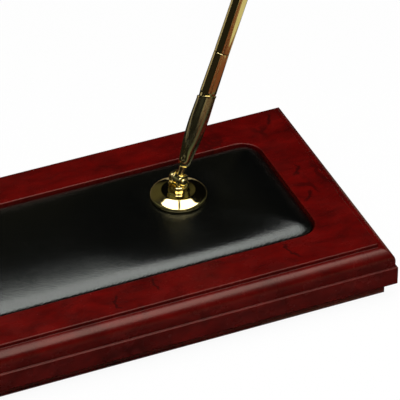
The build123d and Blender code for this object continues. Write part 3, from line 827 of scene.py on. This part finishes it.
# %% Lathe helper
def turned(name, rings, middle, sides=96):
    """A turned piece. Each ring is a radius and a height in millimetres, from the foot inwards and up."""
    bpy.ops.object.select_all(action="DESELECT")
    first_radius, first_height = rings[0]
    bpy.ops.mesh.primitive_circle_add(
        vertices=sides, radius=first_radius * MM, location=(*middle, first_height * MM), fill_type="NGON"
    )
    piece = bpy.context.object
    piece.name = name
    bpy.ops.object.transform_apply(location=True, rotation=True, scale=True)
    bpy.ops.object.mode_set(mode="EDIT")
    bpy.ops.mesh.select_all(action="SELECT")
    for (radius, height), (next_radius, next_height) in zip(rings, rings[1:]):
        bpy.ops.mesh.extrude_region_move(
            TRANSFORM_OT_translate={"value": (0, 0, (next_height - height) * MM)}
        )
        share = next_radius / radius
        bpy.ops.transform.resize(value=(share, share, 1), center_override=(*middle, 0))
    bpy.ops.object.mode_set(mode="OBJECT")
    return piece


# %% Dome shell
dome_middle = tuple(dome_spots[0])
dome_floor = held_top["right"] / MM
dome_wall = 0.9 * MM
dome_rings = (
    (14.2, 0.0), (14.7, 0.12), (15.35, 0.55), (15.66, 1.1), (15.7, 1.6), (15.55, 2.12), (15.3, 2.48),
    (15.0, 2.72), (14.6, 2.92), (13.6, 3.30), (12.6, 3.68), (11.6, 4.05), (10.6, 4.43), (10.0, 4.64),
    (9.7, 4.72), (9.4, 4.75), (9.1, 4.74), (8.7, 4.68), (7.6, 4.50), (6.6, 4.35), (6.0, 4.28),
    (5.7, 4.30), (5.55, 4.45), (5.5, 4.8), (5.5, 7.20), (3.0, 7.20),
)
dome = turned("right_dome_shell", [(r, h + dome_floor) for r, h in dome_rings], dome_middle)
dome_ends = [p.index for p in dome.data.polygons if len(p.vertices) > 4]
bpy.ops.object.mode_set(mode="EDIT")
bpy.ops.mesh.select_all(action="DESELECT")
bpy.ops.object.mode_set(mode="OBJECT")
for end in dome_ends:
    dome.data.polygons[end].select = True
bpy.ops.object.mode_set(mode="EDIT")
bpy.ops.mesh.delete(type="ONLY_FACE")
bpy.ops.mesh.select_all(action="SELECT")
bpy.ops.mesh.normals_make_consistent(inside=False)
bpy.ops.object.mode_set(mode="OBJECT")
wall = dome.modifiers.new("wall", "SOLIDIFY")
wall.thickness = dome_wall
wall.offset = -1.0
bpy.ops.object.modifier_apply(modifier=wall.name)
print("dome shell:", len(dome.data.polygons), "faces, open ends:", len(dome_ends))

# %% [markdown]
# The fork is one piece of round bar: its foot carries on the dome's neck, a slot is cut through its top, a
# spigot goes down into the dome, and two cheeks stand up from it that are round below and square with soft
# corners above.

# %% Fork foot and spigot
fork_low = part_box("right_swivel_fork")[0]
slot_floor, slot_half, shoulder_top = 8.3, 2.15 * MM, 9.4
foot_rings = ((5.4, 7.24), (5.5, 7.34), (5.5, slot_floor), (2.0, slot_floor))
fork = turned("right_fork", [(r, h + dome_floor) for r, h in foot_rings], dome_middle)
spigot_rings = ((2.45, fork_low[2] / MM), (2.45, dome_floor + 7.6))
spigot = turned("spigot", spigot_rings, dome_middle, 48)
print("foot and spigot:", len(fork.data.polygons), "and", len(spigot.data.polygons), "faces")

# %% Fork shoulders
shoulder_foot, shoulder_edge = slot_floor - 0.1, shoulder_top - 0.3
shoulder_rings = ((5.5, shoulder_foot), (5.5, shoulder_edge), (5.2, shoulder_top), (2.0, shoulder_top))
shoulders = []
for side in (-1, 1):
    shoulder = turned("shoulder", [(r, h + dome_floor) for r, h in shoulder_rings], dome_middle)
    out = tilt_axis * side
    bpy.ops.object.mode_set(mode="EDIT")
    bpy.ops.mesh.select_all(action="SELECT")
    bpy.ops.mesh.bisect(plane_co=hinge + out * slot_half, plane_no=out, use_fill=True, clear_inner=True)
    bpy.ops.object.mode_set(mode="OBJECT")
    shoulders.append(shoulder)
print("shoulders:", [len(s.data.polygons) for s in shoulders])

# %% Fork cheeks
cheek_radius, cheek_inside, cheek_outside, cheek_edge = 3.6 * MM, slot_half, 3.9 * MM, 0.35 * MM
cheeks = []
for side in (-1, 1):
    bpy.ops.object.select_all(action="DESELECT")
    bpy.ops.mesh.primitive_circle_add(vertices=64, radius=cheek_radius, fill_type="NGON")
    cheek = bpy.context.object
    for vertex in cheek.data.vertices:
        if vertex.co.y > 0:
            x, y = vertex.co.x / cheek_radius, vertex.co.y / cheek_radius
            vertex.co.xy *= (x**4 + y**4) ** -0.25
    bpy.ops.object.mode_set(mode="EDIT")
    bpy.ops.mesh.select_all(action="SELECT")
    thick = cheek_outside - cheek_inside
    bpy.ops.mesh.extrude_region_move(TRANSFORM_OT_translate={"value": (0, 0, thick)})
    bpy.ops.object.mode_set(mode="OBJECT")
    rims = cheek.modifiers.new("rims", "BEVEL")
    rims.width, rims.segments = cheek_edge, 3
    bpy.ops.object.modifier_apply(modifier=rims.name)
    out = tilt_axis * side
    across = Vector((0, 0, 1)).cross(out)
    stand = Matrix((across, (0, 0, 1), out)).transposed().to_4x4()
    cheek.data.transform(Matrix.Translation(hinge + out * cheek_inside) @ stand)
    cheeks.append(cheek)
bpy.ops.object.select_all(action="DESELECT")
for part in (fork, spigot, *shoulders, *cheeks):
    part.select_set(True)
bpy.context.view_layer.objects.active = fork
bpy.ops.object.join()
bpy.ops.object.mode_set(mode="EDIT")
bpy.ops.mesh.select_all(action="SELECT")
bpy.ops.mesh.normals_make_consistent(inside=False)
bpy.ops.object.mode_set(mode="OBJECT")
print("fork:", len(fork.data.polygons), "faces")


# %% [markdown]
# ## Both sides
# The two holders are mirror images, so the dome and the fork are made once, for the right, and copied. A
# Mirror modifier would keep both sides in one object, but each has to follow its own joint, so each copy
# has its own mesh. Its faces are turned back, because mirroring turns them inside out.


# %% Both sides
def other_side(piece):
    """A mirrored copy of a right-hand piece for the left-hand holder."""
    twin = piece.copy()
    twin.data = piece.data.copy()
    twin.name = piece.name.replace("right_", "left_")
    twin.data.transform(Matrix.Scale(-1, 4, (1, 0, 0)))
    twin.data.flip_normals()
    bpy.context.scene.collection.objects.link(twin)
    return twin


def finish_gold(piece, body, node):
    """Gold, smooth across its soft edges, on its body and in place of its CAD node."""
    bpy.ops.object.select_all(action="DESELECT")
    piece.select_set(True)
    bpy.context.view_layer.objects.active = piece
    bpy.ops.object.shade_smooth_by_angle(angle=math.radians(32))
    piece.data.materials.clear()
    piece.data.materials.append(gold)
    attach(piece, body)
    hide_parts(node)


for piece, body, node in ((dome, "base", "holder_dome"), (fork, "swivel", "swivel_fork")):
    twin = other_side(piece)
    for side, made in (("right", piece), ("left", twin)):
        finish_gold(made, body if body == "base" else side + "_" + body, side + "_" + node)
    print(piece.name, "and", twin.name, "made")

# %% [markdown]
# ## Sizes
# A new piece that reached past the CAD's box would make the stand larger than its record says. Both boxes are
# measured from the meshes, not typed in, and are kept side by side.

# %% How far the box has changed
new_low, new_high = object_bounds()
change = max(abs(new - old) for new, old in zip((*new_low, *new_high), (*cad_low, *cad_high)))
print("the box has changed by", round(change / MM, 3), "mm")
